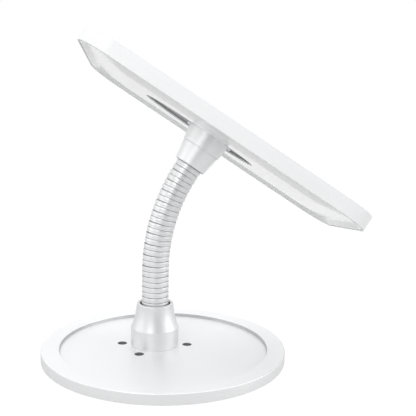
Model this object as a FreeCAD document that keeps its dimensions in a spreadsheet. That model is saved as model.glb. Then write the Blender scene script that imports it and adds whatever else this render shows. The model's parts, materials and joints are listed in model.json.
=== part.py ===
import FreeCAD, Part
import math
import os

import Sketcher
from FreeCAD import Placement, Rotation, Vector

# Anti-theft tablet stand: round base, ribbed gooseneck, swivelling tablet case.
# Millimetres. +Z is up, +X and +Y follow the rectangle of bolt holes in the base,
# and the origin is the axis of the neck's foot at the table top.

doc = FreeCAD.newDocument("tablet_stand")
sheet = doc.addObject("Spreadsheet::Sheet", "dims")

# Driving sizes, in millimetres and degrees
SIZES = {
    # base
    "base_radius": 110.0,
    "base_height": 10.4,
    "pad_height": 0.8,
    "pad_inset": 4.0,
    "rim_width": 16.0,
    "recess_depth": 3.2,
    "base_edge": 0.9,
    "disc_shift_x": 2.0,
    "disc_shift_y": -13.5,
    "bolt_hole_radius": 4.4,
    "bolt_span_long": 50.0,
    "bolt_span_short": 32.6,
    "stud_radius": 8.0,
    "stud_clearance": 0.25,
    "nut_pocket_radius": 17.0,
    "nut_pocket_depth": 4.0,
    "channel_width": 9.0,
    "foot_nut_flats": 24.0,
    "foot_nut_height": 2.4,
    "foot_washer_radius": 15.0,
    "foot_washer_height": 1.2,
    "foot_flange_radius": 16.0,
    "foot_flange_height": 3.0,
    "foot_post_radius": 11.6,
    # flared collar on the base
    "collar_radius": 21.9,
    "collar_straight": 18.3,
    "collar_top_radius": 16.8,
    "collar_height": 39.8,
    "collar_flare": 58.0,
    "collar_rim": 1.4,
    "collar_lip": 2.6,
    "collar_shoulder": 1.2,
    "collar_wall": 1.8,
    "collar_opening": 14.0,
    # ribbed neck
    "rib_radius": 12.3,
    "rib_pitch": 4.8,
    "groove_width": 1.6,
    "groove_depth": 1.1,
    "rib_edge": 0.45,
    "ball_radius": 7.6,
    "socket_clearance": 0.05,
    "lip_height": 1.2,
    "lip_radius": 9.3,
    "lip_room": 1.3,
    "neck_bore": 4.0,
    "neck_tail": 10.0,
    "plug_slack": 0.6,
    "plug_height": 6.0,
    "neck_step": 3.39,
    "neck_heading": -16.4,
    "first_station": 7.2,
    # head collar
    "head_rim_radius": 14.8,
    "head_seam_radius": 17.65,
    "head_ring_radius": 18.25,
    "head_end_radius": 20.5,
    "head_cone_length": 18.0,
    "head_reach": 31.2,
    "head_wall": 1.7,
    "head_opening": 13.7,
    "head_tail": 12.0,
    "stem_plug": 5.0,
    "stem_radius": 13.0,
    "journal_radius": 8.0,
    "journal_clearance": 0.05,
    "end_plate": 3.0,
    "swivel_gap": 0.05,
    "washer_height": 0.35,
    "washer_radius": 14.0,
    "stop_radius": 16.6,
    "stop_pin_radius": 1.2,
    "stop_room": 0.3,
    "stop_travel": 90.0,
    "case_turn": -16.2,
    # tablet case
    "case_length": 283.5,
    "case_width": 176.0,
    "case_depth": 14.2,
    "case_corner": 31.5,
    "case_shift": 8.7,
    "frame_wall": 2.2,
    "bezel_thick": 1.5,
    "bezel_end": 27.5,
    "bezel_side": 18.0,
    "window_corner": 5.0,
    "panel_gap": 0.3,
    "panel_thick": 1.3,
    "dish_depth": 3.1,
    "dish_slope": 9.1,
    "panel_base": 4.4,
    "crown_inset": 42.0,
    "slot_half_length": 57.0,
    "slot_half_width": 24.2,
    "slot_shift": -10.2,
    "plate_length": 134.0,
    "plate_width": 72.0,
    "plate_thick": 3.0,
    "plate_corner": 8.0,
    "stud_inset": 6.0,
    "panel_stud_radius": 1.5,
    "small_nut_flats": 5.5,
    "small_nut_height": 1.3,
    "plate_sink": 1.3,
    "boss_inner": 21.1,
    "boss_outer": 23.2,
    "boss_height": 2.2,
    "ring_nut_radius": 13.0,
    "ring_nut_height": 1.1,
    "pad_thick": 1.5,
    "pad_length": 34.0,
    "pad_width": 11.0,
    "pad_end_inset": 44.0,
    "pad_side_inset": 16.5,
    "block_length": 30.0,
    "block_width": 5.4,
    "block_height": 4.0,
    "block_end_inset": 84.0,
    "block_side_inset": 6.6,
    "gasket_thick": 0.6,
    "gasket_near": 2.0,
    "gasket_far": 8.0,
    "lock_radius": 3.7,
    "lock_pos": 8.5,
    "lock_flange": 5.0,
    "lock_inset": 34.0,
    "lock_tail": 3.8,
    "lock_bore": 2.65,
    "lock_travel": 3.5,
    "bolt_reach": 6.6,
    "bolt_length": 3.4,
    "plunger_floor": 1.2,
    "bolt_radius": 1.5,
    "plunger_radius": 2.6,
    "plug_radius": 1.7,
    "keeper_length": 12.0,
    "keeper_thick": 3.7,
    "keeper_inset": 8.85,
    "keeper_height": 7.0,
}


class Val:
    """A size that carries both its number and the expression it comes from."""

    def __init__(self, number, text):
        self.number = float(number)
        self.text = text

    @staticmethod
    def of(other):
        if isinstance(other, Val):
            return other
        return Val(other, "(%.6g)" % other)

    def __add__(self, other):
        other = Val.of(other)
        return Val(self.number + other.number, "(%s + %s)" % (self.text, other.text))

    def __sub__(self, other):
        other = Val.of(other)
        return Val(self.number - other.number, "(%s - %s)" % (self.text, other.text))

    def __mul__(self, other):
        other = Val.of(other)
        return Val(self.number * other.number, "(%s * %s)" % (self.text, other.text))

    def __truediv__(self, other):
        other = Val.of(other)
        return Val(self.number / other.number, "(%s / %s)" % (self.text, other.text))

    def __radd__(self, other):
        return Val.of(other) + self

    def __rsub__(self, other):
        return Val.of(other) - self

    def __rmul__(self, other):
        return Val.of(other) * self

    def __neg__(self):
        return Val.of(0.0) - self


for row, (word, size) in enumerate(SIZES.items(), start=1):
    sheet.set("A%d" % row, word)
    sheet.set("B%d" % row, "%.6g" % size)
    sheet.setAlias("B%d" % row, word)
doc.recompute()


def size(word):
    return Val(float(sheet.get(word)), "dims.%s" % word)


def num(value):
    return value.number if isinstance(value, Val) else float(value)


def bind(obj, prop, value):
    """Set a property to a number or tie it to the sheet."""
    if isinstance(value, Val):
        obj.setExpression(prop, value.text)
    else:
        setattr(obj, prop, value)


def arc_root(radius, offset):
    """Half chord of a circle at a distance from its centre."""
    number = math.sqrt(num(radius) ** 2 - num(offset) ** 2)
    return Val(number, "sqrt(%s^2 - %s^2)" % (Val.of(radius).text, Val.of(offset).text))


# Building blocks

def new_body(name):
    return doc.addObject("PartDesign::Body", name)


def new_sketch(body, role="XY_Plane", height=None):
    sketch = body.newObject("Sketcher::SketchObject", body.Name + "_outline")
    plane = [f for f in body.Origin.OriginFeatures if f.Role == role][0]
    sketch.AttachmentSupport = [(plane, "")]
    sketch.MapMode = "FlatFace"
    if height is not None:
        sketch.AttachmentOffset = Placement(Vector(0, 0, num(height)), Rotation())
        if isinstance(height, Val):
            sketch.setExpression("AttachmentOffset.Base.z", height.text)
    return sketch


def pin_point(sketch, geo, end, x, y):
    """Tie one end of a line or arc to sheet coordinates."""
    for kind, value in (("DistanceX", x), ("DistanceY", y)):
        index = sketch.addConstraint(Sketcher.Constraint(kind, geo, end, num(value)))
        if isinstance(value, Val):
            sketch.setExpression("Constraints[%d]" % index, value.text)


def draw_path(sketch, points):
    """Closed outline. A point is (x, y) or (x, y, radius, side) for an arc that leads to it."""
    count = len(points)
    geos = []
    for i in range(count):
        a = points[i]
        b = points[(i + 1) % count]
        start = Vector(num(a[0]), num(a[1]), 0)
        end = Vector(num(b[0]), num(b[1]), 0)
        if len(b) > 2:
            radius, side = num(b[2]), b[3]
            mid = (start + end) * 0.5
            span = end - start
            half = span.Length / 2
            normal = Vector(-span.y, span.x, 0).normalize()
            rise = math.sqrt(max(radius ** 2 - half ** 2, 0.0))
            top = mid + normal * (side * (radius - rise))
            # arcs are kept counterclockwise for the solver
            if side > 0:
                start, end = end, start
            geos.append(sketch.addGeometry(Part.Arc(start, top, end), False))
        else:
            geos.append(sketch.addGeometry(Part.LineSegment(start, end), False))
    ends = []
    for i in range(count):
        curve = sketch.Geometry[geos[i]]
        a = points[i]
        start = Vector(num(a[0]), num(a[1]), 0)
        forward = (curve.StartPoint - start).Length < 1e-6
        ends.append((1, 2) if forward else (2, 1))
    for i in range(count):
        j = (i + 1) % count
        sketch.addConstraint(Sketcher.Constraint("Coincident", geos[i], ends[i][1], geos[j], ends[j][0]))
    for i in range(count):
        pin_point(sketch, geos[i], ends[i][0], points[i][0], points[i][1])
        b = points[(i + 1) % count]
        if len(b) > 2:
            index = sketch.addConstraint(Sketcher.Constraint("Radius", geos[i], num(b[2])))
            if isinstance(b[2], Val):
                sketch.setExpression("Constraints[%d]" % index, b[2].text)


def draw_circle(sketch, x, y, radius):
    geo = sketch.addGeometry(Part.Circle(Vector(num(x), num(y), 0), Vector(0, 0, 1), num(radius)), False)
    index = sketch.addConstraint(Sketcher.Constraint("Radius", geo, num(radius)))
    if isinstance(radius, Val):
        sketch.setExpression("Constraints[%d]" % index, radius.text)
    pin_point(sketch, geo, 3, x, y)


def draw_ellipse(sketch, x, y, half_x, half_y):
    far = Vector(num(x) + num(half_x), num(y), 0)
    side = Vector(num(x), num(y) + num(half_y), 0)
    sketch.addGeometry(Part.Ellipse(far, side, Vector(num(x), num(y), 0)), False)


def draw_rounded(sketch, x, y, length, width, corner):
    """Rectangle with rounded corners centred on x, y."""
    hx, hy = length / 2, width / 2
    r = corner
    draw_path(sketch, [
        (x - hx + r, y - hy, r, -1),
        (x + hx - r, y - hy),
        (x + hx, y - hy + r, r, -1),
        (x + hx, y + hy - r),
        (x + hx - r, y + hy, r, -1),
        (x - hx + r, y + hy),
        (x - hx, y + hy - r, r, -1),
        (x - hx, y - hy + r),
    ])


def pad(body, sketch, length, down=False):
    feature = body.newObject("PartDesign::Pad", body.Name + "_pad")
    feature.Profile = sketch
    bind(feature, "Length", length)
    feature.Reversed = down
    doc.recompute()
    return feature


def pocket(body, sketch, length=None, up=False):
    """Cut from the sketch plane downwards, or upwards; all the way when no length is given."""
    before = body.Shape.Volume
    feature = body.newObject("PartDesign::Pocket", body.Name + "_pocket")
    feature.Profile = sketch
    if length is None:
        feature.Type = "ThroughAll"
        feature.Midplane = True
    else:
        bind(feature, "Length", length)
        feature.Reversed = up
    doc.recompute()
    if body.Shape.Volume > before - 1e-6:
        raise RuntimeError("a pocket in %s cuts nothing" % body.Name)
    return feature


def revolve(body, sketch):
    feature = body.newObject("PartDesign::Revolution", body.Name + "_turned")
    feature.Profile = sketch
    feature.ReferenceAxis = (sketch, ["V_Axis"])
    feature.Angle = 360.0
    doc.recompute()
    return feature


def loft(body, sketches, cut=False):
    kind = "PartDesign::SubtractiveLoft" if cut else "PartDesign::AdditiveLoft"
    feature = body.newObject(kind, body.Name + "_loft")
    feature.Profile = sketches[0]
    feature.Sections = sketches[1:]
    feature.Ruled = True
    doc.recompute()
    return feature


def fillet(body, wanted, radius):
    """Round the edges for which wanted(edge) holds."""
    base = body.Tip
    names = ["Edge%d" % (i + 1) for i, edge in enumerate(base.Shape.Edges) if wanted(edge)]
    if not names:
        raise RuntimeError("no edge to round in %s" % body.Name)
    feature = body.newObject("PartDesign::Fillet", body.Name + "_fillet")
    feature.Base = (base, names)
    bind(feature, "Radius", radius)
    doc.recompute()
    return feature


def turned(name, points):
    """Body turned about Z from an outline of (radius, height) points."""
    body = new_body(name)
    sketch = new_sketch(body, "XZ_Plane")
    draw_path(sketch, points)
    revolve(body, sketch)
    return body


def ring(name, inner, outer, low, high):
    return turned(name, [(inner, low), (outer, low), (outer, high), (inner, high)])


def level_edges(radius, height):
    """Full circles of a radius about Z at a height."""
    def wanted(edge):
        if not hasattr(edge.Curve, "Radius") or len(edge.Vertexes) != 1:
            return False
        near = abs(edge.Curve.Radius - num(radius)) < 1e-4
        return near and abs(edge.Vertexes[0].Z - num(height)) < 1e-4
    return wanted


# Places of the pieces

disc_x = size("disc_shift_x")
disc_y = size("disc_shift_y")
disc_place = Placement(Vector(num(disc_x), num(disc_y), 0), Rotation())
foot_place = Placement(Vector(0, 0, 0), Rotation(Vector(0, 0, 1), num(size("neck_heading"))))


def tilt_place(x, z, angle):
    """Place with its Z axis leaned forward by an angle in the plane of the neck."""
    return foot_place * Placement(Vector(x, 0, z), Rotation(Vector(0, 1, 0), angle))


recess_floor = size("base_height") - size("recess_depth")
collar_top = recess_floor + size("collar_height")
link_length = size("rib_pitch") * 2
STRAIGHT_STATIONS = 3
STATIONS = 13
places = []
x_run = 0.0
z_run = num(collar_top) + num(size("first_station"))
angle_run = 0.0
places.append((0.0, z_run - num(size("first_station")), 0.0))
stations = []
for station in range(1, STATIONS + 1):
    stations.append((x_run, z_run, angle_run))
    if station > STRAIGHT_STATIONS:
        angle_run += num(size("neck_step"))
    places.append((x_run, z_run, angle_run))
    x_run += num(link_length) * math.sin(math.radians(angle_run))
    z_run += num(link_length) * math.cos(math.radians(angle_run))

# The head starts one link after the last station, at the lower rim of its collar
head_place = tilt_place(x_run, z_run, angle_run)
turn_place = Placement(Vector(0, 0, 0), Rotation(Vector(0, 0, 1), num(size("case_turn"))))
lift_place = Placement(Vector(num(size("case_shift")), 0, num(size("head_reach"))), Rotation())
case_place = head_place * turn_place * lift_place

# Base

base_low = size("pad_height")
base_top = size("base_height")
recess_radius = size("base_radius") - size("rim_width")
hub_x = -disc_x
hub_y = -disc_y
pocket_top = base_low + size("nut_pocket_depth")


def hub_sketch(body, height):
    """Level sketch on a disc of the base, centred on the neck."""
    sketch = new_sketch(body, "XY_Plane", height)
    sketch.AttachmentOffset = Placement(Vector(num(hub_x), num(hub_y), num(height)), Rotation())
    sketch.setExpression("AttachmentOffset.Base.x", hub_x.text)
    sketch.setExpression("AttachmentOffset.Base.y", hub_y.text)
    return sketch


def bolt_circles(sketch, radius):
    for side_x in (-0.5, 0.5):
        for side_y in (-0.5, 0.5):
            draw_circle(sketch, size("bolt_span_long") * side_x, size("bolt_span_short") * side_y, radius)


base_plate = turned("base_plate", [
    (0, base_low), (size("base_radius"), base_low), (size("base_radius"), base_top),
    (recess_radius, base_top), (recess_radius, recess_floor), (0, recess_floor)])
edge = size("base_edge")
fillet(base_plate, level_edges(size("base_radius"), base_top), edge)
fillet(base_plate, level_edges(recess_radius, base_top), edge / 2)
fillet(base_plate, level_edges(size("base_radius"), base_low), edge / 2)
fillet(base_plate, level_edges(recess_radius, recess_floor), edge)
holes = hub_sketch(base_plate, base_low)
draw_circle(holes, 0, 0, size("stud_radius") + size("stud_clearance"))
bolt_circles(holes, size("bolt_hole_radius"))
pocket(base_plate, holes)
well = hub_sketch(base_plate, base_low)
draw_circle(well, 0, 0, size("nut_pocket_radius"))
pocket(base_plate, well, size("nut_pocket_depth"), up=True)
channel = hub_sketch(base_plate, base_low)
half_channel = size("channel_width") / 2
channel_end = size("base_radius") + size("rim_width")
channel_outline = [(-half_channel, 0), (half_channel, 0), (half_channel, channel_end),
                   (-half_channel, channel_end)]
draw_path(channel, channel_outline)
pocket(base_plate, channel, size("nut_pocket_depth"), up=True)

base_pad = turned("base_pad", [
    (0, 0), (size("base_radius") - size("pad_inset"), 0),
    (size("base_radius") - size("pad_inset"), base_low), (0, base_low)])
pad_holes = hub_sketch(base_pad, base_low)
bolt_circles(pad_holes, size("bolt_hole_radius"))
pocket(base_pad, pad_holes)
pad_well = hub_sketch(base_pad, base_low)
draw_circle(pad_well, 0, 0, size("nut_pocket_radius") + size("stud_clearance") * 2)
pocket(base_pad, pad_well)
pad_channel = hub_sketch(base_pad, base_low)
draw_path(pad_channel, channel_outline)
pocket(base_pad, pad_channel)

for piece in (base_plate, base_pad):
    piece.Placement = disc_place

# Neck foot, held to the base plate from below

washer_low = pocket_top - size("foot_washer_height")
nut_low = washer_low - size("foot_nut_height")
stud = size("stud_radius")
foot_top = collar_top - size("neck_tail")
plug_radius = size("ball_radius") - size("plug_slack")
plug_height = size("plug_height")

foot_washer = ring("foot_washer", stud + 0.2, size("foot_washer_radius"), washer_low, pocket_top)
foot_nut = new_body("foot_nut")
hexagon = new_sketch(foot_nut, "XY_Plane", nut_low)
hex_half = size("foot_nut_flats") / 2
hex_side = size("foot_nut_flats") * 0.288675
draw_path(hexagon, [
    (hex_half, -hex_side), (hex_half, hex_side), (0, hex_side * 2),
    (-hex_half, hex_side), (-hex_half, -hex_side), (0, -hex_side * 2)])
pad(foot_nut, hexagon, size("foot_nut_height"))
nut_bore = new_sketch(foot_nut, "XY_Plane", nut_low)
draw_circle(nut_bore, 0, 0, stud + 0.02)
pocket(foot_nut, nut_bore)

neck_foot = turned("neck_foot", [
    (size("neck_bore"), nut_low), (stud, nut_low), (stud, recess_floor),
    (size("foot_flange_radius"), recess_floor),
    (size("foot_flange_radius"), recess_floor + size("foot_flange_height")),
    (size("foot_post_radius"), recess_floor + size("foot_flange_height")),
    (size("foot_post_radius"), foot_top), (plug_radius, foot_top),
    (plug_radius, foot_top + plug_height), (size("neck_bore"), foot_top + plug_height)])

# Flared collar round the neck foot

flare_low = recess_floor + size("collar_straight")
collar_inner = size("collar_radius") - size("collar_wall")
mouth_low = collar_top - size("collar_lip")
shoulder_height = size("collar_shoulder")
base_collar = turned("base_collar", [
    (collar_inner, recess_floor), (size("collar_radius"), recess_floor),
    (size("collar_radius"), flare_low),
    (size("collar_top_radius"), collar_top - size("collar_rim"), size("collar_flare"), 1),
    (size("collar_top_radius"), collar_top), (size("collar_opening"), collar_top),
    (size("collar_opening"), mouth_low), (collar_inner, flare_low - shoulder_height)])
fillet(base_collar, level_edges(size("collar_radius"), flare_low), shoulder_height)
fillet(base_collar, level_edges(size("collar_top_radius"), collar_top), size("collar_rim") * 0.64)
fillet(base_collar, level_edges(size("collar_opening"), collar_top), size("collar_rim") * 0.36)
ring_low = mouth_low + 0.2
collar_ring = ring("collar_ring", size("rib_radius") + 0.1, size("collar_opening"),
                   ring_low, ring_low + shoulder_height)

for piece in (foot_washer, foot_nut, neck_foot, base_collar, collar_ring):
    piece.Placement = foot_place

# Ribbed neck: links of ribs that ride on one another's ball ends

rib = size("rib_radius")
root = rib - size("groove_depth")
half_groove = size("groove_width") / 2
bevel = size("rib_edge")
ball = size("ball_radius")
socket = ball + size("socket_clearance")
lip = size("lip_height")
lip_floor = lip + size("lip_room")
bore = size("neck_bore")
pitch = size("rib_pitch")


def neck_link(name, low, high, grooves, cup=None):
    """Link between two stations. cup is the radius of a plain bored end in place of a joint."""
    bottom_end, top_end = cup or (None, None)
    points = []
    # inside, upwards
    if bottom_end is None:
        points.append((bore, low + arc_root(socket, bore)))
    else:
        points.append((bottom_end, low))
        points.append((bottom_end, low + plug_height + 0.3))
        points.append((bore, low + plug_height + 0.3))
    if top_end is None:
        points.append((bore, high + arc_root(ball, bore)))
        points.append((arc_root(ball, lip_floor), high - lip_floor, ball, 1))
        points.append((size("lip_radius") + 0.9, high - lip_floor))
        points.append((size("lip_radius") + 0.9, high - half_groove))
        top_face = high - half_groove
    else:
        points.append((bore, high - size("stem_plug") - 0.3))
        points.append((top_end, high - size("stem_plug") - 0.3))
        points.append((top_end, high))
        top_face = high
    # outside, downwards over the ribs
    points.append((rib - bevel, top_face))
    points.append((rib, top_face - bevel))
    for middle in grooves:
        points.append((rib, middle + half_groove + bevel))
        points.append((rib - bevel, middle + half_groove))
        points.append((root, middle + half_groove))
        points.append((root, middle - half_groove))
        points.append((rib - bevel, middle - half_groove))
        points.append((rib, middle - half_groove - bevel))
    bottom_face = low + half_groove if bottom_end is None else low
    points.append((rib, bottom_face + bevel))
    points.append((rib - bevel, bottom_face))
    if bottom_end is None:
        points.append((size("lip_radius"), bottom_face))
        points.append((size("lip_radius"), low - lip))
        points.append((arc_root(socket, lip), low - lip))
        first = points[0]
        points[0] = (first[0], first[1], socket, -1)
    return turned(name, points)


links = []
tail = size("neck_tail")
first = size("first_station")
links.append(neck_link("neck_link_01", -tail, first, [first - pitch * k for k in (1, 2, 3)],
                       cup=(plug_radius + 0.02, None)))
for index in range(2, STATIONS + 1):
    links.append(neck_link("neck_link_%02d" % index, Val.of(0.0), link_length, [pitch]))
head_tail = size("head_tail")
stem_plug = ball + 0.3
links.append(neck_link("neck_link_%02d" % (STATIONS + 1), Val.of(0.0), link_length + head_tail,
                       [pitch * k for k in (4, 3, 2, 1)], cup=(None, stem_plug + 0.02)))
for link, (x, z, angle) in zip(links, places):
    link.Placement = tilt_place(x, z, angle)

# Head collar and stem

reach = size("head_reach")
plate_face = size("panel_thick") + size("plate_sink")
plate_back = size("panel_thick") + size("plate_thick")
washer_stack = size("washer_height") + size("swivel_gap")
ring_end = reach + plate_face - washer_stack
journal = size("journal_radius")
inner_low = reach + plate_back + size("swivel_gap")
nut_base = inner_low + size("washer_height")
stem_top = nut_base + size("ring_nut_height")
cone_top = size("head_cone_length")
wall = size("head_wall")
shoulder = ring_end - size("end_plate")

head_cone = turned("head_cone", [
    (size("head_opening"), 0), (size("head_rim_radius"), 0), (size("head_seam_radius"), cone_top),
    (size("head_seam_radius") - wall, cone_top), (size("head_opening"), 3.0)])
head_ring = turned("head_ring", [
    (size("head_ring_radius") - wall, cone_top), (size("head_ring_radius"), cone_top),
    (size("head_end_radius"), ring_end), (journal + size("journal_clearance"), ring_end),
    (journal + size("journal_clearance"), shoulder), (size("head_end_radius") - wall - 0.5, shoulder)])
fillet(head_ring, level_edges(size("head_end_radius"), ring_end), 0.5)
fillet(head_ring, level_edges(size("head_ring_radius"), cone_top), 0.4)
fillet(head_cone, level_edges(size("head_rim_radius"), 0), 0.3)
stem_low = head_tail - size("stem_plug")
head_stem = turned("head_stem", [
    (bore, stem_low), (stem_plug, stem_low), (stem_plug, head_tail),
    (size("stem_radius"), head_tail), (size("stem_radius"), shoulder), (journal, shoulder),
    (journal, stem_top), (bore, stem_top)])
head_rim_ring = ring("head_rim_ring", rib + 0.1, size("head_opening"), 0.9, 2.1)
swivel_washer = ring("swivel_washer", journal + 0.1, size("washer_radius"), ring_end,
                     ring_end + size("washer_height"))
inner_washer = ring("inner_washer", journal + 0.1, size("washer_radius"), inner_low, nut_base)
ring_nut = ring("ring_nut", journal + 0.02, size("ring_nut_radius"), nut_base, stem_top)
notches = new_sketch(ring_nut, "XY_Plane", nut_base)
for side in (-1, 1):
    near = side * (size("ring_nut_radius") - 2.0)
    far = side * (size("ring_nut_radius") + 1.0)
    draw_path(notches, [(near, -1.5), (far, -1.5), (far, 1.5), (near, 1.5)])
pocket(ring_nut, notches)

# Arc groove in the end of the head ring, in which the stop pin runs
stop = size("stop_radius")
pin = size("stop_pin_radius")
track_half = num(pin) + num(size("stop_room"))
slack = math.degrees(math.asin(track_half / num(stop)))
track_low = -slack
track_high = 2 * num(size("stop_travel")) + slack
inner_track = num(stop) - track_half
outer_track = num(stop) + track_half
track = new_sketch(head_ring, "XY_Plane", ring_end)


def arc_points(radius, start, end, parts, side):
    found = []
    for k in range(parts + 1):
        angle = math.radians(start + (end - start) * k / parts)
        point = (radius * math.cos(angle), radius * math.sin(angle))
        found.append(point if k == 0 else point + (radius, side))
    return found


draw_path(track, arc_points(outer_track, track_low, track_high, 3, -1)
          + arc_points(inner_track, track_high, track_low, 3, 1))
pocket(head_ring, track, 2.0)

for piece in (head_cone, head_ring, head_stem, head_rim_ring, swivel_washer, inner_washer, ring_nut):
    piece.Placement = head_place

# Tablet case, seen from its own frame: x down the long side, z towards the screen

length = size("case_length")
width = size("case_width")
depth = size("case_depth")
corner = size("case_corner")
mount_x = -size("case_shift")
slot_x = mount_x + size("slot_shift")
frame_wall = size("frame_wall")
fit = frame_wall + size("panel_gap")
panel_base = size("panel_base")
panel_low = 0.2


def inset_outline(body, height, inset, least=3.0):
    """Outline of the case drawn in by an inset at a height."""
    sketch = new_sketch(body, "XY_Plane", height)
    turn = corner - inset
    if num(turn) < least:
        turn = least
    draw_rounded(sketch, Val.of(0.0), Val.of(0.0), length - 2 * inset, width - 2 * inset, turn)
    return sketch


def outline_edges(height, inset):
    """Edges of an outline at a height, at an inset from the outside of the case."""
    def wanted(found):
        if any(abs(v.Z - num(height)) > 1e-4 for v in found.Vertexes):
            return False
        middle = found.valueAt((found.FirstParameter + found.LastParameter) / 2)
        half_x = num(length) / 2 - num(inset)
        half_y = num(width) / 2 - num(inset)
        turn = num(corner) - num(inset)
        over_x = abs(middle.x) - (half_x - turn)
        over_y = abs(middle.y) - (half_y - turn)
        if over_x > 0 and over_y > 0:
            gap = turn - math.hypot(over_x, over_y)
        else:
            gap = min(half_x - abs(middle.x), half_y - abs(middle.y))
        return abs(gap) < 1e-3 and abs(middle.z - num(height)) < 1e-4
    return wanted


front_frame = new_body("front_frame")
pad(front_frame, inset_outline(front_frame, Val.of(0.0), Val.of(0.0)), depth)
fillet(front_frame, outline_edges(depth, 0), 1.0)
fillet(front_frame, outline_edges(0, 0), 0.4)
hollow = inset_outline(front_frame, Val.of(0.0), frame_wall)
pocket(front_frame, hollow, depth - size("bezel_thick"), up=True)
window = new_sketch(front_frame, "XY_Plane", depth)
window_length = length - 2 * size("bezel_end")
window_width = width - 2 * size("bezel_side")
draw_rounded(window, Val.of(0.0), Val.of(0.0), window_length, window_width, size("window_corner"))
pocket(front_frame, window)
lock_x = length / 2 - size("lock_inset")
lock_hole = new_sketch(front_frame, "XZ_Plane")
draw_circle(lock_hole, lock_x, size("lock_pos"), size("lock_radius") + 0.1)
pocket(front_frame, lock_hole, width)

rear_panel = new_body("rear_panel")
pad(rear_panel, inset_outline(rear_panel, Val.of(panel_low), fit), panel_base - panel_low)
loft(rear_panel, [inset_outline(rear_panel, Val.of(panel_low), fit + 0.9),
                  inset_outline(rear_panel, size("dish_depth"), size("dish_slope"))], cut=True)
crown = size("crown_inset")
loft(rear_panel, [inset_outline(rear_panel, size("dish_depth"), size("dish_slope") + 0.4),
                  inset_outline(rear_panel, Val.of(0.0), crown, least=9.0)])
loft(rear_panel, [inset_outline(rear_panel, panel_base, crown - 18.0, least=9.0),
                  inset_outline(rear_panel, size("panel_thick"), crown + 2.0, least=9.0)], cut=True)
slot = new_sketch(rear_panel, "XY_Plane", size("panel_thick"))
draw_ellipse(slot, slot_x, 0, size("slot_half_length"), size("slot_half_width"))
pocket(rear_panel, slot)

mount_plate = new_body("mount_plate")
plate_outline = new_sketch(mount_plate, "XY_Plane", size("panel_thick"))
draw_rounded(plate_outline, slot_x, Val.of(0.0), size("plate_length"), size("plate_width"),
             size("plate_corner"))
pad(mount_plate, plate_outline, size("plate_thick"))
sink = new_sketch(mount_plate, "XY_Plane", size("panel_thick"))
draw_ellipse(sink, slot_x, 0, size("slot_half_length"), size("slot_half_width"))
pocket(mount_plate, sink, size("plate_sink"), up=True)
plate_holes = new_sketch(mount_plate, "XY_Plane", size("panel_thick"))
draw_circle(plate_holes, mount_x, 0, journal + size("journal_clearance"))
stud_spots = []
for side_x in (-0.5, 0.5):
    for side_y in (-0.5, 0.5):
        stud_spots.append((slot_x + (size("plate_length") - 2 * size("stud_inset")) * side_x,
                           (size("plate_width") - 2 * size("stud_inset")) * side_y))
stud_radius = size("panel_stud_radius")
for spot_x, spot_y in stud_spots:
    draw_circle(plate_holes, spot_x, spot_y, stud_radius + 0.2)
pocket(mount_plate, plate_holes)
pin_low = plate_face - 2.1
pin_high = plate_face + 1.0
pin_seat = new_sketch(mount_plate, "XY_Plane", plate_face)
draw_circle(pin_seat, mount_x, stop, pin)
pocket(mount_plate, pin_seat, 1.0, up=True)

swivel_boss = new_body("swivel_boss")
boss_outline = new_sketch(swivel_boss, "XY_Plane", plate_face - size("boss_height"))
draw_circle(boss_outline, mount_x, 0, size("boss_outer"))
draw_circle(boss_outline, mount_x, 0, size("boss_inner"))
pad(swivel_boss, boss_outline, size("boss_height"))

stop_pin = new_body("stop_pin")
pin_outline = new_sketch(stop_pin, "XY_Plane", pin_low)
draw_circle(pin_outline, mount_x, stop, pin)
pad(stop_pin, pin_outline, pin_high - pin_low)


def level_blocks(name, spots, low, high, draw):
    """Like blocks on one level, as separate solids of one node."""
    solids = []
    for number, (x, y) in enumerate(spots):
        body = new_body("%s_%d" % (name, number + 1))
        sketch = new_sketch(body, "XY_Plane", low)
        draw(sketch, x, y)
        pad(body, sketch, high - low)
        solids.append(body)
    group = doc.addObject("Part::Compound", name)
    group.Links = solids
    return group


stud_high = plate_back + 1.5
panel_studs = level_blocks("panel_studs", stud_spots, size("panel_thick"), stud_high,
                           lambda sketch, x, y: draw_circle(sketch, x, y, stud_radius))


def small_hex(sketch, x, y):
    flat = size("small_nut_flats") / 2
    side = 2 * flat * 0.288675
    draw_path(sketch, [(x + flat, y - side), (x + flat, y + side), (x, y + 2 * side),
                       (x - flat, y + side), (x - flat, y - side), (x, y - 2 * side)])
    draw_circle(sketch, x, y, stud_radius + 0.02)


plate_nuts = level_blocks("plate_nuts", stud_spots, plate_back,
                          plate_back + size("small_nut_height"), small_hex)

def corner_spots(end_inset, side_inset):
    """Four places on the panel, drawn in from its ends and sides."""
    found = []
    for side_x in (-1, 1):
        for side_y in (-1, 1):
            found.append((side_x * (length / 2 - end_inset), side_y * (width / 2 - side_inset)))
    return found


def rounded_block(block_length, block_width, turn):
    return lambda sketch, x, y: draw_rounded(sketch, x, y, block_length, block_width, turn)


back_pads = level_blocks("back_pads", corner_spots(size("pad_end_inset"), size("pad_side_inset")),
                         panel_base, panel_base + size("pad_thick"),
                         rounded_block(size("pad_length"), size("pad_width"), Val.of(2.0)))
edge_blocks = level_blocks("edge_blocks",
                           corner_spots(size("block_end_inset"), size("block_side_inset")),
                           panel_base, panel_base + size("block_height"),
                           rounded_block(size("block_length"), size("block_width"), Val.of(1.0)))

screen_gasket = new_body("screen_gasket")
gasket_low = depth - size("bezel_thick") - size("gasket_thick")
gasket_outline = new_sketch(screen_gasket, "XY_Plane", gasket_low)
for margin in (size("gasket_far"), size("gasket_near")):
    draw_rounded(gasket_outline, Val.of(0.0), Val.of(0.0), window_length + 2 * margin,
                 window_width + 2 * margin, size("window_corner") + margin)
pad(screen_gasket, gasket_outline, size("gasket_thick"))

# Push lock in the far side wall, and its keeper on the panel

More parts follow.
